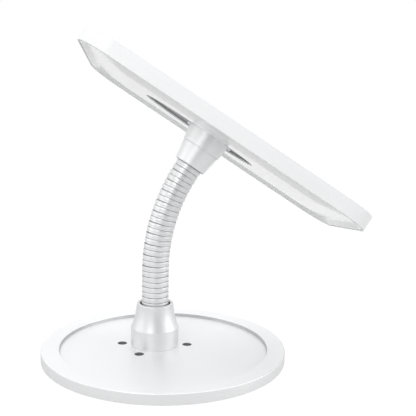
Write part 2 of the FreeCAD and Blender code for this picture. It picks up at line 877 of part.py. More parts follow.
lock_keeper = new_body("lock_keeper")
keeper_outline = new_sketch(lock_keeper, "XY_Plane", panel_base)
keeper_y = width / 2 - size("keeper_inset")
keeper_x = size("keeper_length") / 2
keeper_half = size("keeper_thick") / 2
draw_path(keeper_outline, [
    (lock_x - keeper_x, keeper_y - keeper_half), (lock_x + keeper_x, keeper_y - keeper_half),
    (lock_x + keeper_x, keeper_y + keeper_half), (lock_x - keeper_x, keeper_y + keeper_half)])
pad(lock_keeper, keeper_outline, size("keeper_height"))
keeper_hole = new_sketch(lock_keeper, "XZ_Plane")
draw_circle(keeper_hole, lock_x, size("lock_pos"), size("bolt_radius") + 0.3)
pocket(lock_keeper, keeper_hole, width)

barrel = size("lock_radius")
lock_low = -(frame_wall + size("lock_tail"))
lock_bore = size("lock_bore")
face = Val.of(0.8)
flange = size("lock_flange")
lock_body = turned("lock_body", [
    (lock_bore, lock_low), (barrel, lock_low), (barrel, 0), (flange, 0), (flange, face),
    (lock_bore, face)])
fillet(lock_body, level_edges(flange, face), 0.3)
bolt = size("bolt_radius")
bolt_tip = -size("bolt_reach")
bolt_root = bolt_tip + size("bolt_length")
plunger = size("plunger_radius")
key_seat = size("plug_radius")
key_low = bolt_root + size("plunger_floor")
button_end = size("lock_travel") + 0.6
lock_plunger = turned("lock_plunger", [
    (0, bolt_tip), (bolt, bolt_tip), (bolt, bolt_root), (plunger, bolt_root),
    (plunger, button_end), (key_seat + 0.05, button_end), (key_seat + 0.05, key_low),
    (0, key_low)])
key_end = button_end - 0.1
lock_plug = turned("lock_plug", [
    (0, key_low + 0.1), (key_seat, key_low + 0.1), (key_seat, key_end), (0, key_end)])
keyway = new_sketch(lock_plug, "XY_Plane", key_end)
draw_path(keyway, [(-0.35, -1.2), (0.35, -1.2), (0.35, 1.2), (-0.35, 1.2)])
pocket(lock_plug, keyway, key_end)

case_pieces = (front_frame, rear_panel, mount_plate, swivel_boss, stop_pin, panel_studs, plate_nuts,
               back_pads, edge_blocks, screen_gasket, lock_keeper)
for piece in case_pieces:
    piece.Placement = case_place
lock_turn = Rotation(Vector(1, 0, 0), -90)
lock_place = case_place * Placement(Vector(num(lock_x), num(width) / 2, num(size("lock_pos"))), lock_turn)
for piece in (lock_body, lock_plunger, lock_plug):
    piece.Placement = lock_place

# Check every object, then write each piece to its own file

pieces = [base_plate, base_pad, foot_washer, foot_nut, neck_foot, base_collar, collar_ring]
pieces += links
pieces += [head_cone, head_ring, head_stem, head_rim_ring, swivel_washer, inner_washer, ring_nut]
pieces += list(case_pieces)
pieces += [lock_body, lock_plunger, lock_plug]
doc.recompute()
for thing in doc.Objects:
    if "Invalid" in thing.State or "Error" in thing.State:
        raise RuntimeError("%s did not compute" % thing.Name)
for piece in pieces:
    piece.Label = piece.Name
    if piece.Shape.isNull() or not piece.Shape.isValid():
        raise RuntimeError("%s has no valid shape" % piece.Name)

os.makedirs("parts", exist_ok=True)
for piece in pieces:
    piece.Shape.exportStep("parts/%s.step" % piece.Name)
    box = piece.Shape.BoundBox
    print("%-16s solids %d volume %9.1f  x %7.1f %7.1f  y %7.1f %7.1f  z %7.1f %7.1f" % (
        piece.Name, len(piece.Shape.Solids), piece.Shape.Volume,
        box.XMin, box.XMax, box.YMin, box.YMax, box.ZMin, box.ZMax))
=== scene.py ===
"""Anti-theft tablet desk stand: round base, ribbed gooseneck, swivelling tablet case.

Every piece is in metres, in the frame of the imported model: +Z up, the origin on the
axis of the neck's foot at the table top.
"""

import json
import math

import bmesh
import bpy
from mathutils import Matrix, Vector

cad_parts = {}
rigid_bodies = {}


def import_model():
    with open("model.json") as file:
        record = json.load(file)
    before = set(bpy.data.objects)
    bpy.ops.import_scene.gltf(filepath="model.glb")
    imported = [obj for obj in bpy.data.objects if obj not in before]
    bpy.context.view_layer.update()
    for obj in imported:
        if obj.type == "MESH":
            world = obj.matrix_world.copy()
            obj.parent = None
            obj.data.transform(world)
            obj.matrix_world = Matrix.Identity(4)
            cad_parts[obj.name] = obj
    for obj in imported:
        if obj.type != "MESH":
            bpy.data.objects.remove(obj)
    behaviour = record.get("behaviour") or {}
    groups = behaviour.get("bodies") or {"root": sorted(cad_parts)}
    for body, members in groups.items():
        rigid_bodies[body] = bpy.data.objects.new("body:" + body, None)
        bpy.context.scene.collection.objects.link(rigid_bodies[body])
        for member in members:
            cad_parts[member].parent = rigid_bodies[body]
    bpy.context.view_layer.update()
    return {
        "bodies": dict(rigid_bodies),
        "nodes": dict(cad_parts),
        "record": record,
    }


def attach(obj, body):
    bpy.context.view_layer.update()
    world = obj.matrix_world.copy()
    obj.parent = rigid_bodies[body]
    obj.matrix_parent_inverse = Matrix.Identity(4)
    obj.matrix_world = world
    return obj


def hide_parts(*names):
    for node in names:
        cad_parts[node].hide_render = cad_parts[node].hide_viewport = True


bl_info = {
    "name": "Tablet desk stand",
    "version": (1, 0, 0),
    "blender": (4, 5, 0),
    "location": "View3D > Sidebar > Stand",
    "description": "Dresses the packed tablet stand with finished pieces, materials and a studio",
    "category": "Object",
}

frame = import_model()
MM = 0.001
RING_STEPS = 144
OVAL_STEPS = 96
CORNER_STEPS = 14
EDGE_STEPS = 5
MERGE = 1e-7


# Sizes and colours a user would change

def length(name, text, default):
    return bpy.props.FloatProperty(name=name, description=text, default=default * MM, unit="LENGTH",
                                   precision=5)


def degrees(name, text, default):
    return bpy.props.FloatProperty(name=name, description=text, default=math.radians(default),
                                   subtype="ANGLE")


def colour(name, text, default):
    return bpy.props.FloatVectorProperty(name=name, description=text, default=default, size=3,
                                         min=0.0, max=1.0, subtype="COLOR")


def share(name, text, default):
    return bpy.props.FloatProperty(name=name, description=text, default=default, min=0.0, max=1.0,
                                   subtype="FACTOR")


class StandBase(bpy.types.PropertyGroup):
    radius: length("Radius", "Radius of the round base", 110.0)
    top: length("Top", "Height of the rim over the table", 10.4)
    floor: length("Floor", "Height of the recess floor over the table", 7.2)
    recess: length("Recess", "Radius of the recess", 94.0)
    shift_x: length("Shift X", "Centre of the base from the neck, along X", 2.0)
    shift_y: length("Shift Y", "Centre of the base from the neck, along Y", -13.5)
    hole: length("Hole", "Radius of the bolt holes", 4.4)
    span_x: length("Span X", "Bolt holes apart along X", 50.0)
    span_y: length("Span Y", "Bolt holes apart along Y", 32.6)
    collar: length("Collar", "Radius of the collar's straight part", 21.9)
    collar_top: length("Collar top", "Height of the collar's rim over the table", 47.0)
    collar_rim: length("Collar rim", "Radius of the collar's rim", 16.8)
    collar_bend: length("Collar bend", "Height where the collar starts to narrow", 24.6)


class StandNeck(bpy.types.PropertyGroup):
    radius: length("Radius", "Radius over the ribs", 12.3)
    pitch: length("Pitch", "Rib spacing", 4.8)
    first: length("First joint", "First joint over the collar's rim", 7.2)
    step: degrees("Step", "Lean added at each joint", 3.39)
    heading: degrees("Heading", "Turn of the neck's plane about Z", -16.4)
    reach: length("Reach", "Head's lower rim to the back of the case", 31.2)


class StandCase(bpy.types.PropertyGroup):
    long: length("Length", "Long side of the case", 283.5)
    wide: length("Width", "Short side of the case", 176.0)
    corner: length("Corner", "Corner radius of the case", 31.5)
    shift: length("Shift", "Case centre from the swivel axis", 8.7)
    turn: degrees("Turn", "Turn of the case on the swivel", -16.2)
    slot_long: length("Slot length", "Half the length of the oval slot", 57.0)
    slot_wide: length("Slot width", "Half the width of the oval slot", 24.2)
    slot_shift: length("Slot shift", "Slot's middle from the swivel axis", -10.2)


class StandColours(bpy.types.PropertyGroup):
    # White, Base and Head are one pearly coat in three tones: the collar's is painted darker as
    # shade, the head's painted lighter as light
    white: colour("White", "Pearly coat of the collar on the base", (0.75, 0.755, 0.762))
    base: colour("Base", "Pearly coat of the base", (0.88, 0.885, 0.892))
    head: colour("Head", "Pearly coat of the head", (0.93, 0.934, 0.94))
    case: colour("Case", "White coat of the case", (0.86, 0.864, 0.872))
    rib: colour("Rib", "Coat of the ribbed neck", (0.82, 0.825, 0.832))
    grey: colour("Grey", "Plate behind the slot", (0.45, 0.45, 0.46))
    gloss: share("Gloss", "Roughness of the white coat", 0.36)
    pearl: share("Pearl", "Metallic share of the pearly coat painted darker", 0.34)


GROUPS = (("stand_base", StandBase), ("stand_neck", StandNeck), ("stand_case", StandCase),
          ("stand_colours", StandColours))


def base_sizes():
    return bpy.context.scene.stand_base


def neck_sizes():
    return bpy.context.scene.stand_neck


def case_sizes():
    return bpy.context.scene.stand_case


def colours():
    return bpy.context.scene.stand_colours


# Places

JOINTS = 13
STRAIGHT = 3


def neck_places():
    """Place of each joint's link and, last, of the head's lower rim."""
    base, neck = base_sizes(), neck_sizes()
    heading = Matrix.Rotation(neck.heading, 4, "Z")
    x, z, lean = 0.0, base.collar_top + neck.first, 0.0
    found = [heading @ Matrix.Translation((0, 0, base.collar_top))]
    for joint in range(1, JOINTS + 1):
        if joint > STRAIGHT:
            lean += neck.step
        found.append(heading @ Matrix.Translation((x, 0, z)) @ Matrix.Rotation(lean, 4, "Y"))
        x += 2 * neck.pitch * math.sin(lean)
        z += 2 * neck.pitch * math.cos(lean)
    found.append(heading @ Matrix.Translation((x, 0, z)) @ Matrix.Rotation(lean, 4, "Y"))
    return found


def head_place():
    return neck_places()[-1]


def case_place():
    """Middle of the case on its rear rim, X down the long side, Z towards the screen."""
    case, neck = case_sizes(), neck_sizes()
    turn = Matrix.Rotation(case.turn, 4, "Z")
    return head_place() @ turn @ Matrix.Translation((case.shift, 0, neck.reach))


# Shader nodes

class Maths:
    """A shader value that takes part in Python arithmetic."""

    def __init__(self, paint, socket):
        self.paint = paint
        self.socket = socket

    def _join(self, operation, first, second):
        node = self.paint.node("ShaderNodeMath", {"operation": operation}, {0: first, 1: second})
        return Maths(self.paint, node.outputs[0])

    def __add__(self, other):
        return self._join("ADD", self, other)

    def __radd__(self, other):
        return self._join("ADD", other, self)

    def __mul__(self, other):
        return self._join("MULTIPLY", self, other)

    def __rmul__(self, other):
        return self._join("MULTIPLY", other, self)


class Paint:
    """The nodes of a material or of the world."""

    def __init__(self, owner, shader="Principled BSDF"):
        self.owner = owner
        owner.use_nodes = True
        self.tree = owner.node_tree
        self.shader = self.tree.nodes[shader]

    def node(self, kind, settings=None, inputs=None):
        made = self.tree.nodes.new(kind)
        for key, value in (settings or {}).items():
            setattr(made, key, value)
        for key, value in (inputs or {}).items():
            self.feed(made.inputs[key], value)
        return made

    def feed(self, socket, value):
        if isinstance(value, Maths):
            value = value.socket
        if isinstance(value, bpy.types.NodeSocket):
            self.tree.links.new(value, socket)
        else:
            socket.default_value = value

    def place(self, scale=(1.0, 1.0, 1.0)):
        coordinates = self.node("ShaderNodeTexCoord")
        mapping = self.node("ShaderNodeMapping", None, {"Vector": coordinates.outputs["Object"],
                                                        "Scale": scale})
        return mapping.outputs[0]

    def along(self, axis):
        """How far each point lies along axis 0, 1 or 2."""
        parts = self.node("ShaderNodeSeparateXYZ", None, {0: self.place()})
        return Maths(self, parts.outputs[axis])

    def away(self, vector, point):
        """How far a vector ends from a point."""
        gap = self.node("ShaderNodeVectorMath", {"operation": "DISTANCE"}, {0: vector, 1: point})
        return Maths(self, gap.outputs["Value"])

    def noise(self, scale, detail=2.0, roughness=0.5, vector=None):
        made = self.node("ShaderNodeTexNoise", None, {
            "Vector": vector or self.place(), "Scale": scale, "Detail": detail,
            "Roughness": roughness})
        return Maths(self, made.outputs[0])

    def blend(self, factor, first, second):
        made = self.node("ShaderNodeMix", {"data_type": "RGBA"}, {
            0: factor, 6: first, 7: second})
        return made.outputs[2]

    def ramp(self, factor, low, high):
        made = self.node("ShaderNodeMapRange", None, {
            "Value": factor, "From Min": low[0], "From Max": high[0],
            "To Min": low[1], "To Max": high[1]})
        return Maths(self, made.outputs[0])

    def bump(self, height, strength, distance):
        made = self.node("ShaderNodeBump", None, {
            "Height": height, "Strength": strength, "Distance": distance})
        self.feed(self.shader.inputs["Normal"], made.outputs[0])

    def set(self, **values):
        for key, value in values.items():
            self.feed(self.shader.inputs[key.replace("_", " ")], value)


FLAT = (1.0, 1.0, 0.0)
WHITE = (1.0, 1.0, 1.0, 1.0)
# painted shade: grey of the walls inside the base's bolt holes
BORE_SHADE = (0.3, 0.3, 0.3)
# painted shade: tone of the base's recess step, as a share of its coat
STEP_SHADE = 0.62
# painted shade: tone of the neck's deep seams, as a share of its coat
SEAM_PAINTED_SHADE = 0.42


def new_paint(name):
    return Paint(bpy.data.materials.new(name))


def rgba(values):
    return (values[0], values[1], values[2], 1.0)


def shade(values, factor):
    return tuple(v * factor for v in values)


def powder_coat(name, base, roughness, pearl=0.0, lacquer=0.0, base_plate=False):
    """Satin powder coat: faint orange peel, faint cloudiness, slightly uneven sheen."""
    paint = new_paint(name)
    cloud = paint.noise(scale=14.0, detail=3.0)
    peel = paint.noise(scale=1500.0, roughness=0.4)
    wave = paint.noise(scale=320.0, detail=1.0, roughness=0.4)
    sheen = paint.noise(scale=60.0, detail=4.0)
    coat = paint.blend(paint.ramp(cloud, (0.3, 0.0), (0.7, 1.0)),
                       rgba(shade(base, 0.985)), rgba(base))
    if base_plate:
        # painted shade on the step round the base's recess
        coat = paint.blend(recess_step_shade(paint), coat, rgba(shade(base, STEP_SHADE)))
        # painted shade inside the bolt holes
        coat = paint.blend(bolt_bore_shade(paint), coat, rgba(BORE_SHADE))
    paint.set(Base_Color=coat, Metallic=pearl, Coat_Weight=lacquer, Coat_Roughness=0.12, IOR=1.5)
    paint.set(Roughness=paint.ramp(sheen, (0.25, roughness - 0.03), (0.75, roughness + 0.04)))
    paint.bump(peel * 0.5 + wave * 0.5, strength=0.16, distance=0.06 * MM)
    return paint.owner


def recess_step_shade(paint):
    """1 on the base's step round its recess, which is painted darker as shade."""
    base = base_sizes()
    radius = paint.away(paint.place(FLAT), (base.shift_x, base.shift_y, 0.0))
    inner = paint.ramp(radius, (base.recess - 1.4 * MM, 0.0), (base.recess - 0.6 * MM, 1.0))
    outer = paint.ramp(radius, (base.recess + 0.3 * MM, 1.0), (base.recess + 0.9 * MM, 0.0))
    under = paint.ramp(paint.along(2), (base.top - 0.7 * MM, 1.0), (base.top - 0.2 * MM, 0.0))
    return inner * outer * under


def bolt_bore_shade(paint):
    """1 on the walls of the base's bolt holes, painted dark as shade, 0 on its coat."""
    base = base_sizes()
    # one quarter stands for all four holes
    folded = paint.node("ShaderNodeVectorMath", {"operation": "ABSOLUTE"}, {0: paint.place(FLAT)})
    radius = paint.away(folded.outputs[0], (base.span_x / 2, base.span_y / 2, 0.0))
    near = paint.ramp(radius, (base.hole + 0.1 * MM, 1.0), (base.hole + 0.3 * MM, 0.0))
    under = paint.ramp(paint.along(2), (base.floor - 0.5 * MM, 1.0), (base.floor - 0.2 * MM, 0.0))
    return near * under


def plated_steel(name, base, roughness, streak=900.0):
    """Plated or turned metal with fine scratches along its surface."""
    paint = new_paint(name)
    fine = paint.noise(scale=streak, detail=3.0, roughness=0.6, vector=paint.place((1.0, 1.0, 6.0)))
    stain = paint.ramp(paint.noise(scale=90.0), (0.35, 0.0), (0.65, 1.0))
    paint.set(Base_Color=paint.blend(stain, rgba(shade(base, 0.9)), rgba(base)), Metallic=1.0)
    paint.set(Roughness=paint.ramp(fine, (0.3, roughness - 0.05), (0.7, roughness + 0.08)))
    paint.bump(fine, strength=0.12, distance=0.05 * MM)
    return paint.owner


def moulded(name, base, roughness, grain=700.0, depth=0.08):
    """Moulded rubber or plastic with a fine matt grain, so many millimetres deep."""
    paint = new_paint(name)
    fine = paint.noise(scale=grain, detail=3.0, roughness=0.6)
    dust = paint.ramp(paint.noise(scale=35.0, detail=4.0), (0.4, 0.0), (0.75, 1.0))
    paint.set(Base_Color=paint.blend(dust, rgba(base), rgba(shade(base, 1.25))))
    paint.set(Roughness=paint.ramp(fine, (0.3, roughness - 0.06), (0.7, roughness + 0.05)))
    paint.bump(fine, strength=0.35, distance=depth * MM)
    return paint.owner


def rib_coat(name, base, roughness, pearl):
    """Coated wound metal, with painted shade where its seams lie deep."""
    paint = new_paint(name)
    cloud = paint.ramp(paint.noise(scale=70.0), (0.3, 0.0), (0.7, 1.0))
    peel = paint.noise(scale=1700.0, roughness=0.4)
    sheen = paint.noise(scale=120.0, detail=3.0)
    depth = paint.node("ShaderNodeAttribute", {"attribute_name": "depth"}).outputs["Fac"]
    # painted shade, darker the deeper a point lies in a seam
    seam = paint.ramp(depth, (0.5, 0.0), (0.8, 1.0))
    unshaded_coat = paint.blend(cloud, rgba(shade(base, 0.97)), rgba(base))
    paint.set(Base_Color=paint.blend(seam, unshaded_coat, rgba(shade(base, SEAM_PAINTED_SHADE))), Metallic=pearl)
    paint.set(Roughness=paint.ramp(sheen, (0.25, roughness - 0.03), (0.75, roughness + 0.05)))
    paint.bump(peel, strength=0.14, distance=0.05 * MM)
    return paint.owner


MATERIALS = {}


def make_materials():
    palette = colours()
    gloss, pearl = palette.gloss, palette.pearl
    MATERIALS.update({
        # lit and shaded copies of one pearly coat: painted shade on the collar, painted light on
        # the head
        "white_metal": powder_coat("pearly coat painted darker", palette.white, gloss, pearl),
        "base_coat_painted_shade": powder_coat("pearly base coat with painted shade", palette.base, gloss, pearl, base_plate=True),
        "head_coat_painted_light": powder_coat("pearly head coat painted lighter", palette.head, gloss, pearl),
        "case_coat": powder_coat("white case coat", palette.case, gloss),
        "panel_coat": powder_coat("white panel coat", palette.case, gloss, lacquer=1.0),
        "rib_white": rib_coat("white rib coat", palette.rib, gloss - 0.04, pearl),
        "grey_plate": powder_coat("grey plate coat", palette.grey, 0.75),
        "zinc_steel": plated_steel("zinc plated steel", (0.6, 0.6, 0.61), 0.34),
        "bright_steel": plated_steel("polished nickel", (0.72, 0.71, 0.7), 0.16, 500.0),
        "brass_plug": plated_steel("machined brass", (0.68, 0.53, 0.27), 0.28),
        "black_rubber": moulded("black rubber", (0.035, 0.035, 0.036), 0.72),
        "washer_plastic": moulded("washer plastic", (0.62, 0.61, 0.58), 0.5, 400.0, 0.05),
    })


# Shapes

def finish_piece(name, shape, slot, body, replaced=(), sharp=30.0, place=None, coat=None):
    """Turns a bmesh into a named piece that rides on a body, in its slot's material or in coat."""
    if place is not None:
        bmesh.ops.transform(shape, matrix=place, verts=shape.verts)
    mesh = bpy.data.meshes.new(name)
    shape.to_mesh(mesh)
    shape.free()
    for face in mesh.polygons:
        face.use_smooth = True
    mesh.set_sharp_from_angle(angle=math.radians(sharp))
    piece = bpy.data.objects.new(name, mesh)
    bpy.context.scene.collection.objects.link(piece)
    mesh.materials.append(MATERIALS[coat or slot])
    flat = piece.modifiers.new("even shading", "WEIGHTED_NORMAL")
    flat.keep_sharp = True
    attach(piece, body)
    if replaced:
        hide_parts(*replaced)
    return piece


def wire(shape, points):
    """Closed wire through (radius, height) points in millimetres; a third number rounds one."""
    made = [shape.verts.new((point[0] * MM, 0.0, point[1] * MM)) for point in points]
    for i in range(len(made)):
        shape.edges.new((made[i], made[(i + 1) % len(made)]))
    by_round = {}
    for vertex, point in zip(made, points):
        if len(point) > 2:
            by_round.setdefault(point[2], []).append(vertex)
    for radius, corners in by_round.items():
        bmesh.ops.bevel(shape, geom=corners, offset=radius * MM, offset_type="OFFSET",
                        segments=EDGE_STEPS, profile=0.5, affect="VERTICES", material=-1)


def turned(points):
    """Closed shape turned about Z from an outline of (radius, height, round) in millimetres."""
    shape = bmesh.new()
    wire(shape, points)
    outline = list(shape.verts) + list(shape.edges)
    bmesh.ops.spin(shape, geom=outline, cent=(0, 0, 0), axis=(0, 0, 1), angle=2 * math.pi,
                   steps=RING_STEPS, use_merge=True, use_duplicate=False)
    bmesh.ops.remove_doubles(shape, verts=shape.verts, dist=MERGE)
    bmesh.ops.recalc_face_normals(shape, faces=shape.faces)
    return shape


def arc(radius, middle, start, end, parts):
    """Points on an arc, its ends among them, between two angles in radians."""
    found = []
    for k in range(parts + 1):
        angle = start + (end - start) * k / parts
        found.append((middle[0] + radius * math.cos(angle), middle[1] + radius * math.sin(angle)))
    return found


def bow(start, end, radius, parts):
    """Points on an arc from start to end, hollow on its left. Its ends are left out."""
    start, end = Vector(start), Vector(end)
    chord = end - start
    normal = Vector((chord.y, -chord.x)).normalized()
    middle = (start + end) / 2 + normal * math.sqrt(radius ** 2 - (chord.length / 2) ** 2)
    first = math.atan2(start.y - middle.y, start.x - middle.x) % (2 * math.pi)
    last = math.atan2(end.y - middle.y, end.x - middle.x) % (2 * math.pi)
    return arc(radius, middle, first, last, parts)[1:-1]


def rounded_loop(shape, long, wide, corner, height):
    """Edges of a level rectangle with rounded corners, in millimetres."""
    before = set(shape.edges)
    made = []
    for x, y in ((-0.5, -0.5), (0.5, -0.5), (0.5, 0.5), (-0.5, 0.5)):
        made.append(shape.verts.new((x * long * MM, y * wide * MM, height * MM)))
    for i in range(4):
        shape.edges.new((made[i], made[(i + 1) % 4]))
    bmesh.ops.bevel(shape, geom=made, offset=corner * MM, offset_type="OFFSET",
                    segments=CORNER_STEPS, profile=0.5, affect="VERTICES", material=-1)
    return [edge for edge in shape.edges if edge not in before]


def oval_loop(shape, half_x, half_y, middle, height):
    """Edges of a level oval, in millimetres."""
    found = bmesh.ops.create_circle(shape, cap_ends=False, radius=1.0, segments=OVAL_STEPS)
    made = found["verts"]
    bmesh.ops.scale(shape, vec=(half_x * MM, half_y * MM, 1.0), verts=made)
    bmesh.ops.translate(shape, vec=(middle * MM, 0.0, height * MM), verts=made)
    return list({edge for vertex in made for edge in vertex.link_edges})


def join_loops(shape, loops):
    """Joins each loop of edges to the next and the last to the first."""
    for first, second in zip(loops, loops[1:] + loops[:1]):
        heights = {round(vertex.co.z, 7) for edge in first + second for vertex in edge.verts}
        # a bridge between two loops of one height would fold over itself
        if len(heights) == 1:
            bmesh.ops.triangle_fill(shape, edges=first + second, use_beauty=True)
        else:
            bmesh.ops.bridge_loops(shape, edges=first + second)
    bmesh.ops.recalc_face_normals(shape, faces=shape.faces)


# Neck, in millimetres

# each link ends in a ball, which sits in the socket of the next
BALL = 7.6
SOCKET = 7.65
BORE = 4.0
LIP = 1.2
LIP_RADIUS = 9.3
LIP_PLAY = 0.9
LIP_DROP = 1.3
# a turn of the hose: its band ends so far under the joint's height, then comes the seam
BAND_END = 0.65
SEAM = 0.42
FILLER = 0.45
FILLER_SHARE = 0.3
# depths under the top of the wires: the tongue's two faces, the band's and the pocket's wall
TONGUE = 1.0
TONGUE_BACK = 1.26
BAND_WALL = 0.35
POCKET_WALL = 1.6
END_WALL = 1.0
# heights from the joint: the tongue's root and end, the pocket's floor and its inner rim
TONGUE_ROOT = 0.5
TONGUE_REACH = 1.7
POCKET_FLOOR = 3.1
POCKET_RIM = 0.8
# the neck's lowest link goes down into the collar, its highest up into the head's cone
FOOT_LENGTH = 10.0
FOOT_SEAT = (BALL - 0.58, 6.3)
CROWN_LENGTH = 12.0
CROWN_SEAT = (BALL + 0.32, 5.3)


def wire_turn(low, pitch, radius):
    """One turn of the wound hose over its seam: a low filler wire, then the high wire."""
    filler = radius - FILLER
    start = low - BAND_END + SEAM
    step = low + FILLER_SHARE * pitch
    end = low + pitch - BAND_END
    low_wire = [(filler - 0.08, start, 0.06), (filler, (start + step) / 2),
                (filler - 0.04, step - 0.1)]
    high_wire = [(radius - 0.14, step + 0.1, 0.1), (radius - 0.03, step + 0.5),
                 (radius, (step + end) / 2), (radius - 0.04, end - 0.5),
                 (radius - 0.18, end, 0.12)]
    return low_wire + high_wire


def hose(low, turns, pitch, radius):
    """Outside of the wound hose, upwards, with a deep seam between its turns."""
    points = []
    for turn in range(turns):
        z = low + pitch * turn
        if turn > 0:
            points += [(radius - TONGUE, z - BAND_END), (radius - TONGUE, z - BAND_END + SEAM)]
        points += wire_turn(z, pitch, radius)
    return points


def link_shape(low, high, first_turn, turns, foot=None, crown=None):
    """One link. foot and crown are the (radius, depth) of a plain bored end, not a joint."""
    neck = neck_sizes()
    pitch, radius = neck.pitch / MM, neck.radius / MM
    if foot is None:
        # its tongue slides inside the top band of the link below
        root, tip = low + TONGUE_ROOT, low - TONGUE_REACH
        start = [(LIP_RADIUS, low - LIP), (LIP_RADIUS, root), (radius - TONGUE_BACK, root),
                 (radius - TONGUE_BACK, tip), (radius - TONGUE, tip),
                 (radius - TONGUE, low - BAND_END + SEAM)]
    else:
        start = [(radius - END_WALL, low)]
    outside = hose(first_turn, turns, pitch, radius)
    if crown is None:
        reach = LIP + LIP_DROP
        floor, rim = high - POCKET_FLOOR, high - POCKET_RIM
        inside = [(radius - BAND_WALL, high - BAND_END), (radius - BAND_WALL, floor),
                  (radius - POCKET_WALL, floor), (radius - POCKET_WALL, rim),
                  (LIP_RADIUS + LIP_PLAY, rim), (LIP_RADIUS + LIP_PLAY, high - reach)]
        inside += arc(BALL, (0, high), -math.asin(reach / BALL), math.acos(BORE / BALL), 14)
    else:
        inside = [(radius - END_WALL, high), (crown[0], high), (crown[0], high - crown[1]),
                  (BORE, high - crown[1])]
    if foot is None:
        inside += arc(SOCKET, (0, low), math.acos(BORE / SOCKET), -math.asin(LIP / SOCKET), 12)
    else:
        inside += [(BORE, low + foot[1]), (foot[0], low + foot[1]), (foot[0], low)]
    shape = turned(start + outside + inside)
    note_depth(shape, neck.radius)
    return shape


def note_depth(shape, radius):
    """Keeps how many millimetres each point lies under the top of the wires."""
    layer = shape.verts.layers.float.new("depth")
    for vertex in shape.verts:
        vertex[layer] = (radius - math.hypot(vertex.co.x, vertex.co.y)) / MM


class MakeNeck(bpy.types.Operator):
    """Fourteen ribbed links of the gooseneck"""
    bl_idname = "stand.neck"
    bl_label = "Gooseneck"

    def execute(self, context):
        neck = neck_sizes()
        places = neck_places()
        pitch, first = neck.pitch / MM, neck.first / MM
        step = 2 * pitch
        foot = link_shape(-FOOT_LENGTH, first, first - 3 * pitch, 3, foot=FOOT_SEAT)
        finish_piece("neck_link_01_ribs", foot, "rib_white", "base", ["neck_link_01"],
                     place=places[0])
        for joint in range(1, JOINTS):
            shape = link_shape(0.0, step, 0.0, 2)
            number = "%02d" % (joint + 1)
            finish_piece("neck_link_%s_ribs" % number, shape, "rib_white", "link_" + number,
                         ["neck_link_" + number], place=places[joint])
        last = link_shape(0.0, step + CROWN_LENGTH, 0.0, 4, crown=CROWN_SEAT)
        finish_piece("neck_link_14_ribs", last, "rib_white", "head", ["neck_link_14"],
                     place=places[JOINTS])
        return {"FINISHED"}


# Collars, in millimetres

COLLAR_WALL = 1.8
COLLAR_BORE = 14.0
COLLAR_LAND = 1.4
FLARE_RADIUS = 58.0
CONE_BORE = 13.7
CONE_FOOT = 14.8
CONE_RIM = 17.45
CONE_HEIGHT = 18.0
# the seam under the head ring: a neck inside the cone's rim
GAP_RADIUS = 16.9
GAP_START = 16.9
GAP_FLOOR = 17.3


class MakeCollars(bpy.types.Operator):
    """Flared collar on the base and cone collar on the head"""
    bl_idname = "stand.collars"
    bl_label = "Collars"

    def execute(self, context):
        base = base_sizes()
        radius, rim = base.collar / MM, base.collar_rim / MM
        floor, bend, top = base.floor / MM, base.collar_bend / MM, base.collar_top / MM
        inner = radius - COLLAR_WALL
        start, end = (radius - 0.15, bend), (rim, top - COLLAR_LAND)
        shape = turned(
            [(inner, floor), (radius, floor, 0.3), (radius, bend - 0.3), start]
            + bow(start, end, FLARE_RADIUS, 16)
            + [end, (rim, top, 0.9), (COLLAR_BORE, top, 0.5), (COLLAR_BORE, top - 2.6),
               (inner, bend - 1.2)])
        heading = Matrix.Rotation(neck_sizes().heading, 4, "Z")
        finish_piece("base_collar_flared", shape, "white_metal", "base", ["base_collar"],
                     place=heading, sharp=40)
        cone = turned([(CONE_BORE, 0.0, 0.25), (CONE_FOOT, 0.0, 0.4), (CONE_RIM, GAP_START, 0.15),
                       (GAP_RADIUS, GAP_FLOOR), (GAP_RADIUS, CONE_HEIGHT),
                       (GAP_RADIUS - 0.95, CONE_HEIGHT), (CONE_BORE, 3.0)])
        finish_piece("head_cone_collar", cone, "white_metal", "head", ["head_cone"],
                     place=head_place(), coat="head_coat_painted_light")
        return {"FINISHED"}


# Case, in millimetres

PANEL_GAP = 2.3
PANEL_BACK = 4.4
PANEL_SKIN = 1.3
# the flat crown starts so far in from the case's outline, the hollow behind it nearer the rim
CROWN = 42.0
HOLLOW = 24.0
# corners of the outlines get sharper inwards, down to these
LEAST_CORNER = 3.0
LEAST_CROWN_CORNER = 9.0
DISH_START = 12.0
# growth of the slot and height, over its lip and down its wall
SLOT_EDGE = ((1.0, 0.0), (0.5, 0.0), (0.18, 0.06), (0.0, 0.25), (0.0, PANEL_SKIN))


